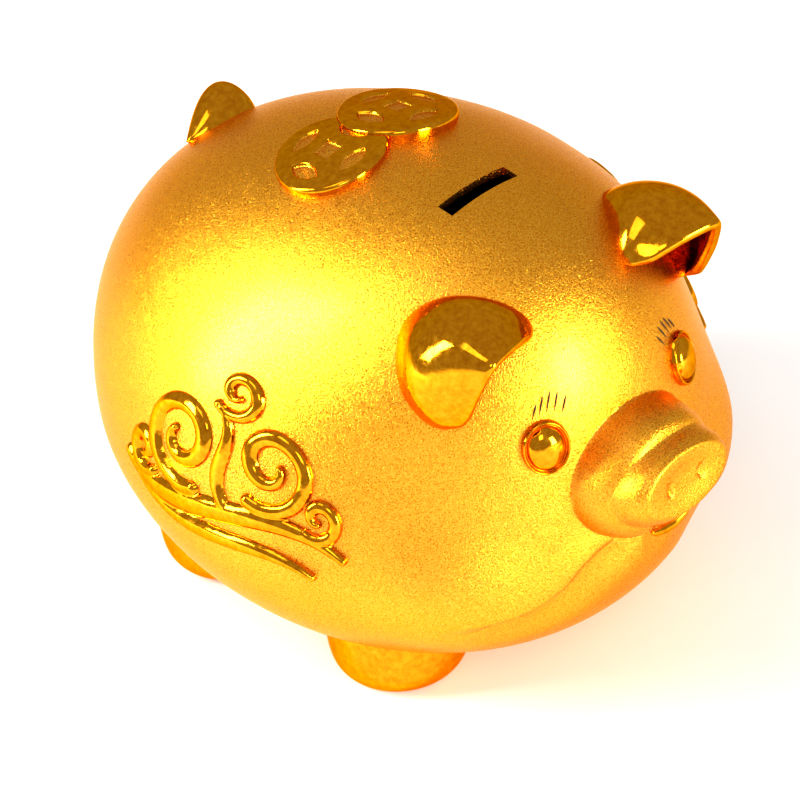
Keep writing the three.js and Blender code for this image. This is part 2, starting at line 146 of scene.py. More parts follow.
def make_piece(name, points, faces, body, materials, replaced=(), sharp=None, face_material=None):
    """Makes one piece from body-centred points in millimetres, and ties it to the frame."""
    mesh = bpy.data.meshes.new(name)
    mesh.from_pydata(((np.asarray(points) + CENTRE) * MM).tolist(), [], faces)
    mesh.validate()
    piece = bpy.data.objects.new(name, mesh)
    bpy.context.scene.collection.objects.link(piece)
    for material in materials:
        mesh.materials.append(material)
    if face_material is not None:
        mesh.polygons.foreach_set("material_index", np.asarray(face_material, np.int32))
    mesh.shade_smooth()
    if sharp is not None:
        mesh.set_sharp_from_angle(angle=math.radians(sharp))
    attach(piece, body)
    if replaced:
        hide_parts(*replaced)
    return piece


def ring_faces(rows, columns, first=0):
    """Quads between closed rings of points, one ring after another."""
    row, column = np.meshgrid(np.arange(rows - 1), np.arange(columns), indexing="ij")
    here = first + row * columns + column
    beside = first + row * columns + (column + 1) % columns
    quads = np.stack([here, beside, beside + columns, here + columns], -1)
    return quads.reshape(-1, 4).tolist()


def closed_tube(rings):
    """Closed surface through rings of points, with a fan over each end."""
    rings = np.asarray(rings)
    rows, columns = rings.shape[:2]
    ends = np.array([rings[0].mean(0), rings[-1].mean(0)])
    points = np.vstack([rings.reshape(-1, 3), ends])
    faces = ring_faces(rows, columns)
    first_end, last_end = rows * columns, rows * columns + 1
    last = (rows - 1) * columns
    for column in range(columns):
        beside = (column + 1) % columns
        faces.append((first_end, beside, column))
        faces.append((last_end, last + column, last + beside))
    return points, faces


# ---- Skin ---------------------------------------------------------------------------------------

def barrel_radius(d):
    """Distance from the middle to the egg-shaped barrel along unit directions."""
    x, y, z = np.moveaxis(d, -1, 0)
    length = np.where(y < 0, FRONT_REACH, REAR_REACH)
    height = np.where(z > 0, BACK_RISE, BELLY_DEPTH)
    upper_power = mix(REAR_POWER, FOREHEAD_POWER, smoothstep(-y, *FOREHEAD_BLEND))
    lower_power = mix(BELLY_POWER, CHIN_POWER, smoothstep(-y, *CHIN_BLEND))
    power = mix(lower_power, upper_power, smoothstep(z, *UPPER_BLEND))
    profile = np.abs(y / length) ** power + np.abs(z / height) ** power
    forward = smoothstep(-y, *FORWARD_BLEND)
    raised = smoothstep(z, *RAISED_BLEND)
    half_width = HALF_WIDTH * (1 - HEAD_NARROWING * forward * mix(LOW_NARROWING, 1, raised))
    mirrored = np.stack([np.abs(x), y, z], -1)
    off_cheek = np.arccos(np.clip(mirrored @ unit(CHEEK_PLACE), -1, 1))
    cheek = CHEEK_SWELL * (1 - smoothstep(off_cheek, 0, CHEEK_SPREAD))
    return 1 / np.sqrt(profile ** (2 / power) + (x / half_width) ** 2) + cheek


def face_plane(d, reach):
    """Where directions meet an upright plane in front of the middle: (x, z) in it."""
    stretch = reach / np.maximum(-d[..., 1], NEAR_ZERO)
    return d[..., 0] * stretch, d[..., 2] * stretch


def muzzled_radius(d):
    """The barrel with the muzzle's dome raised on it: steep at its foot, easing into the forehead."""
    radius = barrel_radius(d)
    x, z = face_plane(d, FRONT_REACH)
    over = z - MUZZLE_HEIGHT
    upward = over / np.where(over > 0, MUZZLE_BRIDGE_HEIGHT, MUZZLE_HALF_HEIGHT)
    away = np.hypot(x / MUZZLE_HALF_WIDTH, upward)
    slope = np.clip((away - MUZZLE_TOP) / (1 - MUZZLE_TOP), 0, 1)
    ease = mix(MUZZLE_FOOT_EASE, MUZZLE_BRIDGE_EASE, smoothstep(upward, *MUZZLE_EASE_BLEND))
    rise = MUZZLE_RISE * (1 - slope**MUZZLE_POWER) ** ease
    return np.where(d[..., 1] < 0, radius + rise, radius)


SNOUT_DISH = 0.9
SNOUT_DISH_BLEND = (0.2, 0.85)
SNOUT_ROUNDING = 1.6
SNOUT_ROUNDING_BLEND = (0.85, 1.02)
NOSTRIL_SIDE = 7
NOSTRIL_HALF_WIDTH = 1.7
NOSTRIL_HALF_HEIGHT = 3.4
NOSTRIL_DEPTH = 1.3
NOSTRIL_BLEND = (0.3, 1.15)


def snout_face(d):
    """Distance to the slightly dished snout disc with its two upright nostrils."""
    x, z = face_plane(d, SNOUT_REACH)
    away = np.hypot(x / SNOUT_HALF_WIDTH, (z - SNOUT_HEIGHT) / SNOUT_HALF_HEIGHT)
    dish = SNOUT_DISH * (1 - smoothstep(away, *SNOUT_DISH_BLEND))
    nostril = np.hypot(
        (np.abs(x) - NOSTRIL_SIDE) / NOSTRIL_HALF_WIDTH, (z - SNOUT_HEIGHT) / NOSTRIL_HALF_HEIGHT
    )
    pit = NOSTRIL_DEPTH * (1 - smoothstep(nostril, *NOSTRIL_BLEND))
    rounding = SNOUT_ROUNDING * smoothstep(away, *SNOUT_ROUNDING_BLEND) ** 2
    return (SNOUT_REACH - dish - pit - rounding) / np.maximum(-d[..., 1], NEAR_ZERO), away


def skin_radius(d):
    """The plain outer skin, without the smile."""
    radius = muzzled_radius(d)
    face, away = snout_face(d)
    blended = mix(face, radius, smoothstep(away, SNOUT_EDGE, SNOUT_FOOT))
    return np.where(d[..., 1] < 0, blended, radius)


def skin_points(places):
    """The points of the skin in the directions of the given places."""
    d = unit(places)
    return d * skin_radius(d)[..., None]


def skin_normals(places):
    """The outward directions of the skin near the given places."""
    d = unit(places)
    step = 0.01
    guide = np.where(np.abs(d[..., 2:]) > 0.9, [0.0, 1.0, 0.0], [0.0, 0.0, 1.0])
    side = unit(np.cross(guide, d))
    other = np.cross(d, side)
    along_side = skin_points(d + step * side) - skin_points(d - step * side)
    along_other = skin_points(d + step * other) - skin_points(d - step * other)
    return unit(np.cross(along_side, along_other))


def above_skin(places, heights):
    """Points at heights over the skin, near the given places."""
    places = np.asarray(places, float)
    heights = np.broadcast_to(heights, places.shape[:-1])
    return skin_points(places) + skin_normals(places) * heights[..., None]


# The smile: a crease from the mouth's corner round under each cheek, which swells over the chin.
SMILE = [
    (7, -92, 5.5), (10, -92, 1), (13, -91, -2.5), (17.3, -90.2, -3.5), (24.5, -88.3, -8.1),
    (29.6, -85.8, -13.5), (38.8, -80.9, -18.8), (48.7, -75.5, -19.9), (57.3, -69.4, -20.1),
    (68, -60, -21),
]
SMILE_STEPS = 160
SMILE_GROOVE = 1.5
SMILE_GROOVE_WIDTH = 1.7
SMILE_PUFF = 1.1
CHIN_DROP = 2.2
SMILE_REACH = 15
SMILE_CREST = 3
CHIN_ONSET = 2
CHIN_REACH = 1.3 * SMILE_REACH
SMILE_FADE_IN = 0.1
SMILE_FADE_OUT = 0.72
SMILE_FRONT = -35
SMILE_TOP = 25
SMILE_BOTTOM = -50


def smile_depth(points):
    """How far the skin rises (cheek) or falls (crease and chin) by the smile."""
    line = curve_points(SMILE, np.linspace(0, 1, SMILE_STEPS))
    line = skin_points(line)
    depth = np.zeros(len(points))
    height = points[:, 2]
    near = np.flatnonzero((points[:, 1] < SMILE_FRONT) & (height < SMILE_TOP) & (height > SMILE_BOTTOM))
    own = np.column_stack([np.abs(points[near, 0]), points[near, 1:]])
    gap = own[:, None, :] - line[None]
    distance = np.linalg.norm(gap, axis=-1)
    nearest = distance.argmin(1)
    far = distance[np.arange(len(near)), nearest]
    tangent = unit(np.gradient(line, axis=0))[nearest]
    over = np.cross(tangent, unit(own))
    signed = -(gap[np.arange(len(near)), nearest] * over).sum(-1)
    fade_in = smoothstep(nearest / SMILE_STEPS, 0, SMILE_FADE_IN)
    fade_out = 1 - smoothstep(nearest / (SMILE_STEPS - 1), SMILE_FADE_OUT, 1)
    groove = -SMILE_GROOVE * np.exp(-((far / SMILE_GROOVE_WIDTH) ** 2))
    cheek = SMILE_PUFF * smoothstep(far, 0, SMILE_CREST) * (1 - smoothstep(far, SMILE_CREST, SMILE_REACH))
    chin = -CHIN_DROP * smoothstep(far, 0, CHIN_ONSET) * (1 - smoothstep(far, SMILE_CREST, CHIN_REACH))
    depth[near] = fade_out * fade_in * (groove + np.where(signed >= 0, cheek, chin))
    return depth


LIP_HALF_WIDTH = 7.5
LIP_RADIUS = 1.9
LIP_RISE = 2.5
LIP_LIFT = 0.4
LIP_STEPS = 41
LIP_SIDES = 24
LIP_CORNER = 1.02
MOUTH_DEPTH = 1.6
MOUTH_HALF_GAP = 1.0
MOUTH_END_BLEND = (0.7, 1.15)
MOUTH_FRONT = -60
DEEPEST_MARK = 2.2


def mouth_depth(points):
    """How far the skin falls in the narrow gap over the lower lip."""
    x, z = face_plane(unit(points), FRONT_REACH)
    share = x / LIP_HALF_WIDTH
    off = (z - LIP_RISE * (1 + share**2) - LIP_RADIUS) / MOUTH_HALF_GAP
    inside = (1 - smoothstep(np.abs(share), *MOUTH_END_BLEND)) * np.exp(-off**2)
    return np.where(points[:, 1] < MOUTH_FRONT, -MOUTH_DEPTH * inside, 0)


# ---- Materials ----------------------------------------------------------------------------------

def new_material(name):
    material = bpy.data.materials.new(name)
    material.use_nodes = True
    nodes = material.node_tree.nodes
    nodes.clear()
    output = nodes.new("ShaderNodeOutputMaterial")
    shader = nodes.new("ShaderNodeBsdfPrincipled")
    material.node_tree.links.new(shader.outputs["BSDF"], output.inputs["Surface"])
    return material, shader


def add_node(material, kind, inputs=None, **settings):
    """Adds a node, sets its properties, and fills or links its inputs."""
    tree = material.node_tree
    node = tree.nodes.new(kind)
    for key, value in settings.items():
        setattr(node, key, value)
    for key, value in (inputs or {}).items():
        if isinstance(value, bpy.types.NodeSocket):
            tree.links.new(value, node.inputs[key])
        else:
            node.inputs[key].default_value = value
    return node


def object_noise(material, scale, detail=2.0, roughness=0.5):
    places = add_node(material, "ShaderNodeTexCoord").outputs["Object"]
    noise = add_node(
        material, "ShaderNodeTexNoise",
        {"Vector": places, "Scale": scale, "Detail": detail, "Roughness": roughness},
    )
    return noise.outputs["Fac"]


def remapped(material, value, low, high, new_low, new_high):
    node = add_node(
        material, "ShaderNodeMapRange",
        {"Value": value, "From Min": low, "From Max": high, "To Min": new_low, "To Max": new_high},
    )
    return node.outputs["Result"]


def colour_ramp(material, value, stops):
    node = add_node(material, "ShaderNodeValToRGB", {"Fac": value})
    ramp = node.color_ramp
    while len(ramp.elements) < len(stops):
        ramp.elements.new(0.5)
    for element, (position, colour) in zip(ramp.elements, stops):
        element.position = position
        element.color = (*colour, 1)
    return node.outputs["Color"]


GRAIN_SCALE = 2100
# The blasted grain is real, but its deep and pale speck colours are painted shade and painted glints of the
# facets; the body colour is the gold's own.
GOLD_SPECK_SHADE = (0.8, 0.3, 0.012)
GOLD_BODY = (1.0, 0.47, 0.035)
GOLD_SPECK_GLINT = (1.0, 0.6, 0.09)
GOLD_EDGE = (1.0, 0.6, 0.2, 1)
BLOTCH_SCALE = 28
# Polished gold colours, all darker than the blasted gold: painted shade for the dark room the mirror faces
# reflect. The spread between them follows random wipe marks.
POLISH_SHADED_DEEP = (0.66, 0.27, 0.01)
POLISH_SHADED_BODY = (0.8, 0.37, 0.02)
POLISH_SHADED_PALE = (0.9, 0.46, 0.04)
WAVE_SCALE = 90
WIPE_SCALE = 420
# Colours of the inside clay, painted near-black: painted shade for the hollow seen through the slot, with a
# random speckle between them.
CLAY_SHADE_DARK = (0.07, 0.035, 0.012)
CLAY_SHADE_PALE = (0.16, 0.09, 0.035)
CLAY_SPECKLE_SCALE = 600
RUBBER_DULL = (0.56, 0.52, 0.44)
RUBBER_PALE = (0.74, 0.7, 0.62)
RUBBER_BLOOM_SCALE = 160
ENAMEL_DARK = (0.03, 0.014, 0.004)
ENAMEL_THIN = (0.2, 0.1, 0.02)
ENAMEL_STREAK_SCALE = 1500


def blasted_gold():
    """Gold plate over a sand-blasted glaze: a fine glittering grain whose pale specks are painted glints
    and whose deep specks are painted shade, and slow blotches of tone.
    """
    material, shader = new_material("blasted_gold_plate")
    grain = object_noise(material, GRAIN_SCALE, 1.0, 0.6)
    blotch = object_noise(material, BLOTCH_SCALE, 4.0)
    # Grain colours: painted facet shade, the gold's own colour, painted glints.
    colour = colour_ramp(material, grain, [(0.3, GOLD_SPECK_SHADE), (0.5, GOLD_BODY), (0.72, GOLD_SPECK_GLINT)])
    tone = remapped(material, blotch, 0.3, 0.7, 0.92, 1.0)
    tinted = add_node(
        material, "ShaderNodeMix", {0: 1.0, 6: colour}, data_type="RGBA", blend_type="MULTIPLY",
    )
    grey = add_node(material, "ShaderNodeCombineColor", {0: tone, 1: tone, 2: tone})
    tree = material.node_tree
    tree.links.new(grey.outputs[0], tinted.inputs[7])
    rough = remapped(material, grain, 0.3, 0.7, 0.24, 0.36)
    bump = add_node(material, "ShaderNodeBump", {"Height": grain, "Strength": 0.85, "Distance": 0.0003})
    tree.links.new(tinted.outputs[2], shader.inputs["Base Color"])
    tree.links.new(rough, shader.inputs["Roughness"])
    tree.links.new(bump.outputs["Normal"], shader.inputs["Normal"])
    shader.inputs["Specular Tint"].default_value = GOLD_EDGE
    shader.inputs["Metallic"].default_value = 1.0
    shader.inputs["Coat Weight"].default_value = 0.35
    shader.inputs["Coat Roughness"].default_value = 0.3
    return material


def polished_gold():
    """Mirror gold plate over a hand-wiped glaze: faint waviness, wipe marks and tiny pits. Its colour is
    darker than the blasted gold, as painted shade for the dark room that its mirror faces reflect.
    """
    material, shader = new_material("polished_gold_plate")
    tree = material.node_tree
    wave = object_noise(material, WAVE_SCALE, 2.0)
    wipe = object_noise(material, WIPE_SCALE, 3.0, 0.7)
    # Painted shade: the whole polished palette is darker than the gold itself.
    colour = colour_ramp(material, wipe, [(0.3, POLISH_SHADED_DEEP), (0.55, POLISH_SHADED_BODY), (0.8, POLISH_SHADED_PALE)])
    rough = remapped(material, wipe, 0.35, 0.75, 0.05, 0.16)
    ripple = add_node(material, "ShaderNodeBump", {"Height": wave, "Strength": 0.25, "Distance": 0.001})
    pitted = add_node(
        material, "ShaderNodeBump",
        {"Height": wipe, "Strength": 0.08, "Distance": 0.0002, "Normal": ripple.outputs["Normal"]},
    )
    tree.links.new(colour, shader.inputs["Base Color"])
    tree.links.new(rough, shader.inputs["Roughness"])
    tree.links.new(pitted.outputs["Normal"], shader.inputs["Normal"])
    shader.inputs["Specular Tint"].default_value = GOLD_EDGE
    shader.inputs["Metallic"].default_value = 1.0
    return material


def bare_clay():
    """The unplated inside: dull fired clay, painted near-black as painted shade in the hollow, with a
    random speckle.
    """
    material, shader = new_material("bare_clay_painted_shade")
    tree = material.node_tree
    speckle = object_noise(material, CLAY_SPECKLE_SCALE, 4.0, 0.7)
    # Painted shade: the inside is kept near-black.
    colour = colour_ramp(material, speckle, [(0.3, CLAY_SHADE_DARK), (0.7, CLAY_SHADE_PALE)])
    bump = add_node(material, "ShaderNodeBump", {"Height": speckle, "Strength": 0.4, "Distance": 0.0005})
    tree.links.new(colour, shader.inputs["Base Color"])
    tree.links.new(bump.outputs["Normal"], shader.inputs["Normal"])
    shader.inputs["Roughness"].default_value = 0.85
    return material


def soft_rubber():
    """Milky rubber with a dusty bloom."""
    material, shader = new_material("milky_rubber")
    tree = material.node_tree
    bloom = object_noise(material, RUBBER_BLOOM_SCALE, 5.0, 0.65)
    colour = colour_ramp(material, bloom, [(0.3, RUBBER_DULL), (0.7, RUBBER_PALE)])
    rough = remapped(material, bloom, 0.3, 0.7, 0.5, 0.75)
    bump = add_node(material, "ShaderNodeBump", {"Height": bloom, "Strength": 0.2, "Distance": 0.0004})
    tree.links.new(colour, shader.inputs["Base Color"])
    tree.links.new(rough, shader.inputs["Roughness"])
    tree.links.new(bump.outputs["Normal"], shader.inputs["Normal"])
    shader.inputs["Subsurface Weight"].default_value = 0.15
    shader.inputs["Subsurface Scale"].default_value = 0.004
    return material


def lash_paint():
    """Dark brown brushed enamel, thin enough for the gold to show at its edges."""
    material, shader = new_material("lash_enamel")
    tree = material.node_tree
    streak = object_noise(material, ENAMEL_STREAK_SCALE, 3.0, 0.7)
    colour = colour_ramp(material, streak, [(0.35, ENAMEL_DARK), (0.75, ENAMEL_THIN)])
    rough = remapped(material, streak, 0.3, 0.7, 0.35, 0.6)
    tree.links.new(colour, shader.inputs["Base Color"])
    tree.links.new(rough, shader.inputs["Roughness"])
    return material


blasted = blasted_gold()
polished = polished_gold()
clay = bare_clay()
rubber = soft_rubber()
enamel = lash_paint()


# ---- Body ---------------------------------------------------------------------------------------

SKIN_SECTORS = 360
SKIN_ANGLES = np.concatenate([
    np.linspace(0.4, 8.8, 24, endpoint=False),
    np.linspace(8.8, 13.4, 24, endpoint=False),
    np.linspace(13.4, 22, 34, endpoint=False),
    np.linspace(22, 62, 80, endpoint=False),
    np.linspace(62, 179.4, 84),
])
HOLLOW_SECTORS = 96
HOLLOW_ANGLES = np.linspace(3, 177, 60)
OVAL_TO_ROUND = (0.25, 0.7)
BODY_SHARP_ANGLE = 38

SLOT_LENGTH = 28.8
SLOT_GAP = 6.4
SLOT_FORWARD = 29
HOLE_RADIUS = 19
HOLE_BACK = 30
RECESS_RADIUS = 25.5
RECESS_HEIGHT = 7.4
SEAT_HEIGHT = 12
SEAT_RADIUS = 28
UNDER_FLOOR = -1
OUT_OF_REACH = 1e6


def directions_round_snout(angles, sectors):
    """Rings of directions: ovals like the snout near it, and circles further back."""
    polar = np.radians(angles)[:, None, None]
    turn = full_turn(sectors)[None, :, None]
    across = np.array([1.0, 0, 0])
    upward = np.cross(snout_axis, across)
    flat = mix(SNOUT_HALF_HEIGHT / SNOUT_HALF_WIDTH, 1, smoothstep(polar, *OVAL_TO_ROUND))
    around = across * np.cos(turn) + upward * np.sin(turn) * flat
    return unit(snout_axis * np.cos(polar) + around * np.sin(polar))


def hollow_radius(d):
    """The inside of the wall, thick over the belly hole where the stopper seats."""
    radius = muzzled_radius(d) - WALL
    seat_top = BELLY_FLOOR + SEAT_HEIGHT
    to_seat = np.where(d[..., 2] < 0, seat_top / np.minimum(d[..., 2], -NEAR_ZERO), OUT_OF_REACH)
    over = np.hypot(d[..., 0] * to_seat, d[..., 1] * to_seat - HOLE_BACK)
    return np.where(over < SEAT_RADIUS, np.minimum(radius, to_seat), radius)


def temporary_object(name, points, faces):
    mesh = bpy.data.meshes.new(name)
    mesh.from_pydata((np.asarray(points) * MM).tolist(), [], faces)
    thing = bpy.data.objects.new(name, mesh)
    bpy.context.scene.collection.objects.link(thing)
    return thing


def drum(radius, bottom, top, sides=96):
    """A cylinder round the belly hole's axis, in the frame's own heights."""
    turn = full_turn(sides)
    circle = np.stack([radius * np.cos(turn), CENTRE[1] + HOLE_BACK + radius * np.sin(turn)], -1)
    rings = [np.column_stack([circle, np.full(sides, height)]) for height in (bottom, top)]
    return closed_tube(rings)


def slot_block():
    """The block that opens the coin slot, square to the skin of the back."""
    place = np.array([0, -SLOT_FORWARD, BACK_RISE])
    out = skin_normals(place)
    across = np.array([1.0, 0, 0])
    along = np.cross(out, across)
    middle = skin_points(place) + CENTRE
    half = np.array([SLOT_LENGTH / 2, SLOT_GAP / 2, 5 * WALL])
    corners = [
        middle + across * half[0] * x + along * half[1] * y + out * half[2] * z
        for z in (-1, 1) for x, y in ((-1, -1), (1, -1), (1, 1), (-1, 1))
    ]
    faces = [(3, 2, 1, 0), (4, 5, 6, 7), (0, 1, 5, 4), (1, 2, 6, 5), (2, 3, 7, 6), (3, 0, 4, 7)]
    return corners, faces


def cut_away(piece, cutters):
    """Takes the cutters out of a piece for good."""
    tools = [temporary_object(f"cutter_{i}", *cutter) for i, cutter in enumerate(cutters)]
    for tool in tools:
        cut = piece.modifiers.new("cut", "BOOLEAN")
        cut.operation = "DIFFERENCE"
        cut.solver = "EXACT"
        cut.object = tool
    depsgraph = bpy.context.evaluated_depsgraph_get()
    whole = piece.data
    piece.data = bpy.data.meshes.new_from_object(piece.evaluated_get(depsgraph))
    piece.modifiers.clear()
    bpy.data.meshes.remove(whole)
    for tool in tools:
        bpy.data.meshes.remove(tool.data)


def body():
    """The hollow shell: the marked outer skin, a coarser inner wall, and the slot and hole cut out."""
    outward = directions_round_snout(SKIN_ANGLES, SKIN_SECTORS)
    outer = outward * skin_radius(outward)[..., None]
    flat = outer.reshape(-1, 3)
    marks = np.maximum(smile_depth(flat) + mouth_depth(flat), -DEEPEST_MARK)
    outer = (flat + unit(flat) * marks[:, None]).reshape(outer.shape)
    inward = directions_round_snout(HOLLOW_ANGLES, HOLLOW_SECTORS)
    inner = inward * hollow_radius(inward)[..., None]
    outer_points, outer_faces = closed_tube(outer)
    inner_points, inner_faces = closed_tube(inner)
    shift = len(outer_points)
    faces = outer_faces + [tuple(i + shift for i in reversed(face)) for face in inner_faces]
    faces = [tuple(reversed(face)) for face in faces]
    kinds = [0] * len(outer_faces) + [1] * len(inner_faces)
    piece = make_piece(
        "body", np.vstack([outer_points, inner_points]), faces, "pig",
        [blasted, clay], ["body_shell"], face_material=kinds,
    )
    cut_away(piece, [
        slot_block(),
        drum(HOLE_RADIUS, UNDER_FLOOR, 2 * SEAT_HEIGHT),
        drum(RECESS_RADIUS, UNDER_FLOOR, RECESS_HEIGHT),
    ])
    piece.data.shade_smooth()
    piece.data.set_sharp_from_angle(angle=math.radians(BODY_SHARP_ANGLE))
    return piece


# ---- Ears ---------------------------------------------------------------------------------------

EAR_THICKNESS = 4
EAR_SEAT = -6
EAR_ROOT = [
    (17, -64, 71), (26, -56, 79), (36, -45, 85), (46, -38, 80), (54, -41, 73), (59, -48, 63),
    (59, -57, 55), (56, -63, 51),
]
EAR_RIM = [(21, -74, 77), (36, -80, 83), (50, -83, 84), (54, -79, 73), (54, -74, 62), (54, -69, 54)]
EAR_CROWN = [
    (21, -70, 85), (36, -61, 99), (49, -56, 98), (63, -57, 89), (69, -57, 76), (67, -60, 64),
    (59, -65, 53),
]
EAR_STEPS_ALONG = 72
EAR_STEPS_OUT = 36
EAR_RIM_STEPS = 10
EAR_END = 0.09


def ear_rings():
    along = np.linspace(0, 1, EAR_STEPS_ALONG)
    root = curve_points(above_skin(EAR_ROOT, EAR_SEAT), along)[:, None]
    crown = curve_points(EAR_CROWN, along)[:, None]
    rim = curve_points(EAR_RIM, along)[:, None]
    out = np.linspace(0, 1, EAR_STEPS_OUT)[None, :, None]
    back = root * (1 - out) ** 2 + 2 * crown * out * (1 - out) + rim * out**2
    lengthwise = np.gradient(back, axis=0)
    outward = np.gradient(back, axis=1)
    inward = unit(np.cross(lengthwise, outward))
    inside = back + inward * EAR_THICKNESS
    middle = back[:, -1:] + inward[:, -1:] * EAR_THICKNESS / 2
    turn = np.linspace(0, np.pi, EAR_RIM_STEPS + 2)[1:-1][None, :, None]
    edge = middle + EAR_THICKNESS / 2 * (
        unit(outward[:, -1:]) * np.sin(turn) - inward[:, -1:] * np.cos(turn)
    )
    rings = np.concatenate([back, edge, inside[:, ::-1]], axis=1)
    to_end = np.clip(1 - np.minimum(along, 1 - along) / EAR_END, 0, 0.999)
    middles = rings.mean(1, keepdims=True)
    return middles + (rings - middles) * np.sqrt(1 - to_end**2)[:, None, None]


def ear(side_name):
    side = SIDES[side_name]
    rings = ear_rings() * [side, 1, 1]
    if side > 0:
        rings = rings[:, ::-1]
    points, faces = closed_tube(rings)
    return make_piece(
        f"ear_{side_name}_cast", points, faces, "pig", [polished], [f"ear_{side_name}"],
    )


# ---- Turned shapes: eyes, feet, tail, stopper ---------------------------------------------------

def turned(profile, sides, steps=1):
    """Rings of a turned shape round Z, from (radius, height) points smoothed in the given steps."""
    profile = np.asarray(profile, float)
    if steps > 1:
        profile = curve_points(profile, np.linspace(0, 1, steps * (len(profile) - 1) + 1))
    turn = full_turn(sides)
    radius, height = profile[:, :1], profile[:, 1:]
    return np.stack([radius * np.cos(turn), radius * np.sin(turn), height + 0 * turn], -1)


def stood_on_skin(points, place):
    """Stands points on the skin at a place, their Z along the skin's normal."""
    out = skin_normals(np.asarray(place, float))
    across = unit(np.cross([0, 0, 1], out))
    upward = np.cross(out, across)
    return skin_points(np.asarray(place, float)) + points @ np.array([across, upward, out])


EYE_SIDE = 29.5
EYE_FRONT = -80
EYE_RISE = 40
EYE_HALF_WIDTH = 7.9
EYE_HALF_HEIGHT = 9.2
EYE_PROFILE = [
    (0.98, -3), (1, -0.6), (0.995, 0.6), (0.97, 1.5), (0.925, 1.8), (0.885, 1.5), (0.86, 0.9), (0.83, 0.75),
    (0.79, 1.3), (0.68, 2.5), (0.48, 3.5), (0.24, 4.05), (0.004, 4.2),
]


def eye(side_name):
    side = SIDES[side_name]
    rings = turned(EYE_PROFILE, 72, 5) * [EYE_HALF_WIDTH, EYE_HALF_HEIGHT, 1]
    points, faces = closed_tube(rings)
    points = stood_on_skin(points, (side * EYE_SIDE, EYE_FRONT, EYE_RISE))
    return make_piece(
        f"eye_{side_name}_cast", points, faces, "pig", [polished], [f"eye_{side_name}"],
    )


LASH_COUNT = 5
LASH_LENGTH = 6.4
LASH_HALF_WIDTH = 0.36
LASH_STEP = 2.5
LASH_INWARD = 2.2
LASH_RISE = 11.4
LASH_LEAN = 0.36
LASH_DROP = 0.36
LASH_SHORTENING = 0.05
LASH_LIFT = 0.05
LASH_THICKNESS = 0.28


def lashes(side_name):
    """Five tapering brush strokes over the eye, all leaning towards the middle of the face."""
    side = SIDES[side_name]
    rows, columns = 14, 8
    share = np.linspace(0, 1, rows)[:, None]
    turn = full_turn(columns)[None]
    half = LASH_HALF_WIDTH * np.sin(np.pi * (0.04 + 0.92 * share**1.5)) ** 0.8
    points, faces = [], []
    for index in range(LASH_COUNT):
        fan = index - (LASH_COUNT - 1) / 2
        up = LASH_RISE - LASH_DROP * fan * fan + LASH_LENGTH * (1 - LASH_SHORTENING * fan * fan) * share
        inward = LASH_INWARD + LASH_STEP * fan + LASH_LEAN * LASH_LENGTH * share
        side_step = half * np.cos(turn) - side * inward
        flat = stood_on_skin(
            np.stack([side_step, up + 0 * turn, 0 * side_step], -1), (side * EYE_SIDE, EYE_FRONT, EYE_RISE),
        )
        height = LASH_LIFT + LASH_THICKNESS * np.sin(turn) * np.sin(np.pi * share) ** 0.5
        more_points, more_faces = closed_tube(above_skin(flat, height))
        shift = sum(len(p) for p in points)
        points.append(more_points)
        faces += [tuple(i + shift for i in face) for face in more_faces]
    return make_piece(
        f"lashes_{side_name}", np.vstack(points), faces, "pig", [enamel],
    )


FEET = {"front": (42, -16), "rear": (38, 72)}
FOOT_RADIUS = 24
FOOT_PROFILE = [
    (0.004, 0), (0.3, 0), (0.5, 0), (0.64, 0.012), (0.78, 0.065), (0.88, 0.165), (0.95, 0.3), (0.985, 0.46),
    (1, 0.65), (1, 0.9), (1, 1.2), (1, 1.6),
]


def foot(end, side_name):
    side = SIDES[side_name]
    across, back = FEET[end]
    rings = turned(FOOT_PROFILE, 96, 4) * FOOT_RADIUS
    points, faces = closed_tube(rings)
    points = points + [side * across, back, BELLY_FLOOR]
    return make_piece(
        f"foot_{end}_{side_name}", points, faces, "pig", [polished],
        [f"{end}_{side_name}_foot"],
    )


TAIL_PLACE = (0, 94, 72)
TAIL_BLUNT_END = -13
TAIL_LENGTH = 28
TAIL_HEIGHT = 12.5
TAIL_HALF_DEPTH = 8
TEARDROP_BLUNT = 0.45
TEARDROP_TAPER = 1.1
TEARDROP_WIDEST = 0.393


def tail():
    """A tail curled flat over the rump: a teardrop lying crosswise, blunt and tall at one end."""
    rows, columns = 64, 72
    share = (1 - np.cos(np.linspace(0.05, np.pi - 0.03, rows))[:, None]) / 2
    turn = full_turn(columns)[None]
    full = share**TEARDROP_BLUNT * (1 - share) ** TEARDROP_TAPER / TEARDROP_WIDEST
    x = TAIL_BLUNT_END + TAIL_LENGTH * share + 0 * turn
    y = TAIL_HALF_DEPTH * full**0.7 * np.cos(turn)
    z = TAIL_HEIGHT * full * np.sin(turn)
    points, faces = closed_tube(np.stack([x, y, z], -1)[::-1])
    points = stood_on_skin(points, TAIL_PLACE)
    return make_piece("tail_cast", points, faces, "pig", [polished], ["tail"])


def lip():
    """The lower lip: a crescent that thins to its corners."""
    share = np.linspace(-1, 1, LIP_STEPS)
    front = np.full(LIP_STEPS, -FRONT_REACH)
    places = np.stack([share * LIP_HALF_WIDTH, front, LIP_RISE * (1 + share**2)], -1)
    spine = above_skin(places, LIP_LIFT)
    out = skin_normals(places)
    along = unit(np.gradient(spine, axis=0))
    over = np.cross(along, out)
    half = LIP_RADIUS * np.sqrt(np.clip(LIP_CORNER - share**2, 0, 1))
    turn = full_turn(LIP_SIDES)[None, :, None]
    rings = spine[:, None] + half[:, None, None] * (
        out[:, None] * np.cos(turn) + over[:, None] * np.sin(turn)
    )
    points, faces = closed_tube(rings)
    return make_piece("lip_cast", points, faces, "pig", [polished], ["mouth_lip"])


# ---- Coin medallions ----------------------------------------------------------------------------

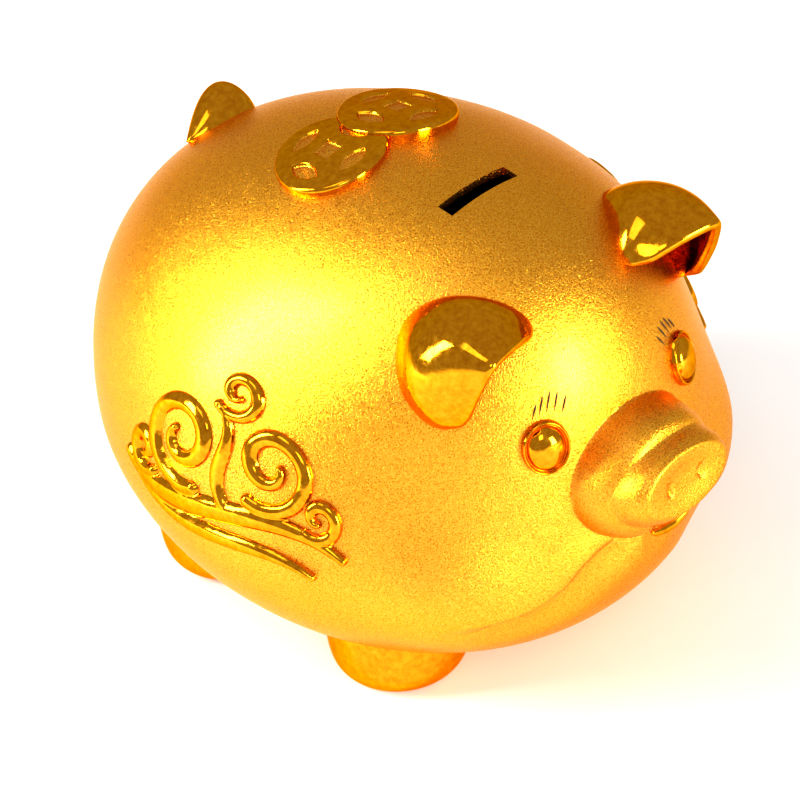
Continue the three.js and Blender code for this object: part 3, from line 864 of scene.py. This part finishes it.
COIN_RADIUS = 20
COIN_SIDE = 15.5
COIN_BACK = 24
COIN_THICKNESS = 2.8
COIN_STEP = 1
COIN_RECESS = 1
LENS_FAR = 11.6
LENS_HALF = 6.2
LENS_BOW = 3.1
SQUARE_HALF = 3.6
COIN_RINGS = 92
COIN_SECTORS = 240
COIN_ROUNDING = 1.6
COIN_FOOT = 3
COIN_MIDDLE = 0.004
BAND_SOFTNESS = 0.45
TUCK_DEPTH = 4
TUCK_INNER = COIN_RADIUS - 1.5
TUCK_OUTER = COIN_RADIUS - 0.2


def coin_height(x, y):
    """Height of a coin's face, from 0 at its floor level to 1 on its raised bands."""
    square = np.maximum(np.abs(x), np.abs(y)) - SQUARE_HALF
    quarter = np.round(np.arctan2(y, x) / (np.pi / 2)) * np.pi / 2
    out = x * np.cos(quarter) + y * np.sin(quarter) - LENS_FAR
    along = -x * np.sin(quarter) + y * np.cos(quarter)
    lens = np.abs(out) - LENS_BOW * (1 - (along / LENS_HALF) ** 2)
    return smoothstep(np.minimum(square, lens), -BAND_SOFTNESS, BAND_SOFTNESS)


def coin(side_name):
    """A coin medallion. The right one dips where it passes under the left one."""
    side = SIDES[side_name]
    top = COIN_THICKNESS + (COIN_STEP if side > 0 else 0)
    radius = COIN_RADIUS * np.linspace(COIN_MIDDLE, 1, COIN_RINGS)[:, None]
    turn = full_turn(COIN_SECTORS)[None]
    x = radius * np.cos(turn)
    y = radius * np.sin(turn)
    raised = coin_height(x, y)
    rim = np.clip((radius - COIN_RADIUS + COIN_ROUNDING) / COIN_ROUNDING, 0, 1)
    height = top - COIN_RECESS * (1 - raised) - COIN_ROUNDING * (1 - np.sqrt(1 - rim**2))
    wall = np.array([-COIN_FOOT, 0.0])[:, None] + 0 * turn
    edge = COIN_RADIUS + 0 * wall
    x = np.vstack([x, edge[::-1] * np.cos(turn)])
    y = np.vstack([y, edge[::-1] * np.sin(turn)])
    height = np.vstack([height, wall[::-1]])
    if side < 0:
        under = np.hypot(x - 2 * COIN_SIDE, y)
        height = height - TUCK_DEPTH * (1 - smoothstep(under, TUCK_INNER, TUCK_OUTER))
    places = np.stack([side * COIN_SIDE + x, COIN_BACK + y, np.full(x.shape, BACK_RISE)], -1)
    points, faces = closed_tube(above_skin(places, height))
    centre_height = np.array([top - COIN_RECESS])
    points[-2] = above_skin(np.array([[side * COIN_SIDE, COIN_BACK, BACK_RISE]]), centre_height)[0]
    floor = (raised < 0.5).reshape(-1)
    kinds = [int(max(face) < floor.size and floor[list(face)].all()) for face in faces]
    return make_piece(
        f"coin_{side_name}", points, faces, "pig", [polished, blasted],
        [f"coin_medallion_{side_name}"], face_material=kinds,
    )


# ---- Scrollwork ---------------------------------------------------------------------------------

SCROLL_RELIEF = 2.1
SCROLL_RISE = 35
SCROLL_BACK = 4
SCROLL_SCALE = 1.08
SCROLL_GRID = 0.55
SCROLL_HALF_LENGTH = 54
SCROLL_HALF_HEIGHT = 40
SCROLL_CUT = -0.25
CURL_CLOSING = 0.78
STROKE_STEPS = 140
STROKE_MARGIN = 8

# Each curl: its middle across and up, radius, start angle in radians, turns and half-width.
CURLS = [
    (19.5, 2.5, 16.5, -2.05, 1.35, 3.4),
    (-17.5, -1, 17.5, -1.15, -1.4, 3.5),
    (2, 25, 10.5, -2.3, 1.2, 2.9),
    (-37, -14, 8.5, -0.9, -1.1, 2.8),
    (39, -11, 8.5, -2.3, 1.1, 2.8),
]

# Each ribbon: the four guide points of its curve, and its half-width.
RIBBONS = [
    ([(-48, -21), (-22, -36), (18, -3), (48, -25)], 4),
    ([(-38, -26), (-12, -38), (12, -20), (36, -33)], 3),
    ([(3, -17), (-7, -6), (8, 4), (-3, 17)], 2.8),
]


def curl_path(x, y, radius, start, turns, share):
    angle = start + 2 * np.pi * turns * share
    reach = radius * (1 - CURL_CLOSING * share)
    return np.stack([x + reach * np.cos(angle), y + reach * np.sin(angle)], -1)


def ribbon_path(corners, share):
    a, b, c, d = (np.array(corner, float) for corner in corners)
    t = share[:, None]
    return a * (1 - t) ** 3 + 3 * b * t * (1 - t) ** 2 + 3 * c * t * t * (1 - t) + d * t**3


def scroll_strokes():
    """Each stroke as its path and the half-width that swells along it."""
    share = np.linspace(0, 1, STROKE_STEPS)
    swell = 0.45 + 0.55 * np.sin(np.pi * np.minimum(0.15 + 0.85 * share, 1))
    for x, y, radius, start, turns, width in CURLS:
        yield curl_path(x, y, radius, start, turns, share), width * swell
    for corners, width in RIBBONS:
        yield ribbon_path(corners, share), width * swell


def scroll_height(u, v):
    """Relief of the joined strokes: 0 at their edges, rounded up to 1 along their middles."""
    places = np.stack([u, v], -1).reshape(-1, 2)
    height = np.full(len(places), -1.0)
    for path, half in scroll_strokes():
        off = np.abs(places[:, 0] - path[:, 0].mean())
        close = np.flatnonzero(off < np.ptp(path[:, 0]) + STROKE_MARGIN)
        gap = np.linalg.norm(places[close, None] - path[None], axis=-1) / half[None]
        depth = 1 - gap.min(1)
        own = np.where(depth > 0, np.sqrt(np.clip(1 - (1 - depth) ** 2, 0, 1)), np.maximum(depth * 2, -1))
        height[close] = np.maximum(height[close], own)
    return height.reshape(u.shape)


def scroll(side_name):
    """The raised cloud scroll on one flank, as a relief that ends just under the skin."""
    side = SIDES[side_name]
    across = np.arange(-SCROLL_HALF_LENGTH, SCROLL_HALF_LENGTH, SCROLL_GRID)
    upward = np.arange(-SCROLL_HALF_HEIGHT, SCROLL_HALF_HEIGHT, SCROLL_GRID)
    u, v = np.meshgrid(across, upward, indexing="ij")
    height = scroll_height(u, v)
    rows, columns = u.shape
    places = np.stack([
        np.full(u.shape, side * HALF_WIDTH), SCROLL_BACK - SCROLL_SCALE * u, SCROLL_RISE + SCROLL_SCALE * v,
    ], -1)
    points = above_skin(places, SCROLL_RELIEF * height).reshape(-1, 3)
    row, column = np.meshgrid(np.arange(rows - 1), np.arange(columns - 1), indexing="ij")
    here = (row * columns + column).reshape(-1)
    quads = np.stack([here, here + 1, here + 1 + columns, here + columns], -1)
    kept = height.reshape(-1)[quads].max(1) > SCROLL_CUT
    quads = quads[kept]
    if side > 0:
        quads = quads[:, ::-1]
    used, quads = np.unique(quads, return_inverse=True)
    faces = quads.reshape(-1, 4).tolist()
    return make_piece(
        f"scroll_{side_name}", points[used], faces, "pig", [polished],
        [f"flank_scroll_{side_name}"],
    )


# ---- Stopper ------------------------------------------------------------------------------------

STOPPER_TOP = 15
STOPPER_GAP = 0.4
STOPPER_WALL = 3
BELLY_CLEARANCE = 4.5
PULL_BAR_WIDTH = 5
PULL_BAR_HEIGHT = 3.6
PULL_BAR_LIFT = 0.4
PULL_BAR_WAIST = 0.12
PULL_BAR_SQUARENESS = 0.35


def stopper():
    """A soft plug with a flange, a neck, and a finger bar across its cup."""
    neck = HOLE_RADIUS - STOPPER_GAP
    flange = RECESS_RADIUS - STOPPER_GAP
    flange_top = RECESS_HEIGHT - STOPPER_GAP
    cup = neck - STOPPER_WALL
    cup_top = STOPPER_TOP - STOPPER_WALL
    profile = [
        (0.01, cup_top), (cup - 1.6, cup_top), (cup - 0.5, cup_top - 0.5), (cup, cup_top - 1.6),
        (cup, BELLY_CLEARANCE + 0.5), (cup + 0.5, BELLY_CLEARANCE), (flange - 0.6, BELLY_CLEARANCE),
        (flange, BELLY_CLEARANCE + 0.6), (flange, flange_top - 0.6), (flange - 0.6, flange_top),
        (neck + 0.3, flange_top), (neck, flange_top + 0.4), (neck, STOPPER_TOP - 2),
        (neck - 0.6, STOPPER_TOP - 0.6), (neck - 2, STOPPER_TOP), (0.01, STOPPER_TOP),
    ]
    points, faces = closed_tube(turned(profile, 96)[::-1])
    points = points + [0, HOLE_BACK, BELLY_FLOOR]
    bar_points, bar_faces = finger_bar(cup)
    shift = len(points)
    faces = faces + [tuple(i + shift for i in face) for face in bar_faces]
    return make_piece(
        "stopper_moulded", np.vstack([points, bar_points]), faces, "stopper", [rubber],
        ["belly_stopper"], sharp=50,
    )


def squared(wave):
    """Bends a sine or cosine towards -1 and 1, which turns a circle into a rounded square."""
    return np.sign(wave) * np.abs(wave) ** PULL_BAR_SQUARENESS


def finger_bar(cup):
    """A rounded bar across the mouth of the cup."""
    half = cup + 0.5
    turn = full_turn(32)[None]
    along = np.linspace(-half, half, 24)[:, None]
    thinned = 1 - PULL_BAR_WAIST * np.cos(np.pi * along / (2 * half))
    across = PULL_BAR_WIDTH / 2 * squared(np.cos(turn)) * thinned
    rise = PULL_BAR_HEIGHT / 2 * squared(np.sin(turn))
    middle = BELLY_CLEARANCE + PULL_BAR_HEIGHT / 2 + PULL_BAR_LIFT
    rings = np.stack([along + 0 * turn, HOLE_BACK + across, BELLY_FLOOR + middle + rise + 0 * along], -1)
    return closed_tube(rings)


# ---- Everything ---------------------------------------------------------------------------------

body()
for name in SIDES:
    ear(name)
    eye(name)
    lashes(name)
    coin(name)
    scroll(name)
    for end_name in FEET:
        foot(end_name, name)
tail()
lip()
stopper()


# ---- Floor, light and camera --------------------------------------------------------------------

CAMERA_AZIMUTH = -40.1
CAMERA_ELEVATION = 35.4
CAMERA_ROLL = -6.4
CAMERA_DISTANCE = 1.48
CAMERA_LENS = 202.5
CAMERA_RIGHT = -0.0136
CAMERA_UP = 0.0036
CAMERA_CLIP_END = 20
FLOOR_HALF = 3.0
FLOOR_DULL = (0.9, 0.9, 0.9)
FLOOR_PALE = (0.93, 0.93, 0.93)
FLOOR_SHADE_SCALE = 6
FLOOR_ROUGHNESS = 0.7
FLOOR_GLOW = 0.12
WORLD_LIGHT = 0.4

# Each softbox: name, azimuth and elevation in degrees, distance, width and height in metres, watts.
SOFTBOXES = [
    ("flank", -126, 28, 1.3, 0.3, 0.9, 15),
    ("front", 6, 12, 1.3, 0.35, 0.5, 10),
    ("near_camera", -40, 38, 1.6, 0.5, 0.5, 2),
    ("overhead", -90, 66, 1.5, 0.6, 0.6, 1.5),
]


def direction(azimuth, elevation):
    """The unit direction from the body towards a place seen at these angles."""
    a = math.radians(azimuth)
    e = math.radians(elevation)
    return Vector((math.sin(a) * math.cos(e), -math.cos(a) * math.cos(e), math.sin(e)))


def camera():
    a = math.radians(CAMERA_AZIMUTH)
    r = math.radians(CAMERA_ROLL)
    back = direction(CAMERA_AZIMUTH, CAMERA_ELEVATION)
    level = Vector((math.cos(a), math.sin(a), 0))
    above = back.cross(level)
    right = math.cos(r) * level + math.sin(r) * above
    up = math.cos(r) * above - math.sin(r) * level
    data = bpy.data.cameras.new("camera")
    data.lens = CAMERA_LENS
    data.clip_end = CAMERA_CLIP_END
    holder = bpy.data.objects.new("camera", data)
    place = Vector(CENTRE * MM) + CAMERA_DISTANCE * back + CAMERA_RIGHT * right + CAMERA_UP * up
    turn = Matrix((right, up, back)).transposed().to_4x4()
    holder.matrix_world = Matrix.Translation(place) @ turn
    bpy.context.scene.collection.objects.link(holder)
    bpy.context.scene.camera = holder


def floor():
    material, shader = new_material("pale_floor")
    shade = object_noise(material, FLOOR_SHADE_SCALE, 3.0)
    colour = colour_ramp(material, shade, [(0.3, FLOOR_DULL), (0.7, FLOOR_PALE)])
    material.node_tree.links.new(colour, shader.inputs["Base Color"])
    shader.inputs["Roughness"].default_value = FLOOR_ROUGHNESS
    shader.inputs["Emission Color"].default_value = (1, 1, 1, 1)
    shader.inputs["Emission Strength"].default_value = FLOOR_GLOW
    corners = [(x * FLOOR_HALF, y * FLOOR_HALF, 0) for x, y in ((-1, -1), (1, -1), (1, 1), (-1, 1))]
    mesh = bpy.data.meshes.new("floor")
    mesh.from_pydata(corners, [], [(0, 1, 2, 3)])
    mesh.materials.append(material)
    plane = bpy.data.objects.new("floor", mesh)
    bpy.context.scene.collection.objects.link(plane)


def softbox(name, azimuth, elevation, distance, width, height, power):
    """A rectangular soft light that looks at the middle of the body."""
    back = direction(azimuth, elevation)
    data = bpy.data.lights.new(name, "AREA")
    data.shape = "RECTANGLE"
    data.size = width
    data.size_y = height
    data.energy = power
    light = bpy.data.objects.new(name, data)
    light.matrix_world = Matrix.Translation(Vector(CENTRE * MM) + back * distance) @ (
        back.to_track_quat("Z", "Y").to_matrix().to_4x4()
    )
    bpy.context.scene.collection.objects.link(light)


def studio():
    world = bpy.data.worlds.new("studio")
    world.use_nodes = True
    shade = world.node_tree.nodes["Background"]
    shade.inputs["Color"].default_value = (1, 1, 1, 1)
    shade.inputs["Strength"].default_value = WORLD_LIGHT
    bpy.context.scene.world = world
    for box in SOFTBOXES:
        softbox(*box)


camera()
floor()
studio()
bpy.context.scene.view_settings.view_transform = "Standard"
bpy.context.scene.view_settings.look = "High Contrast"
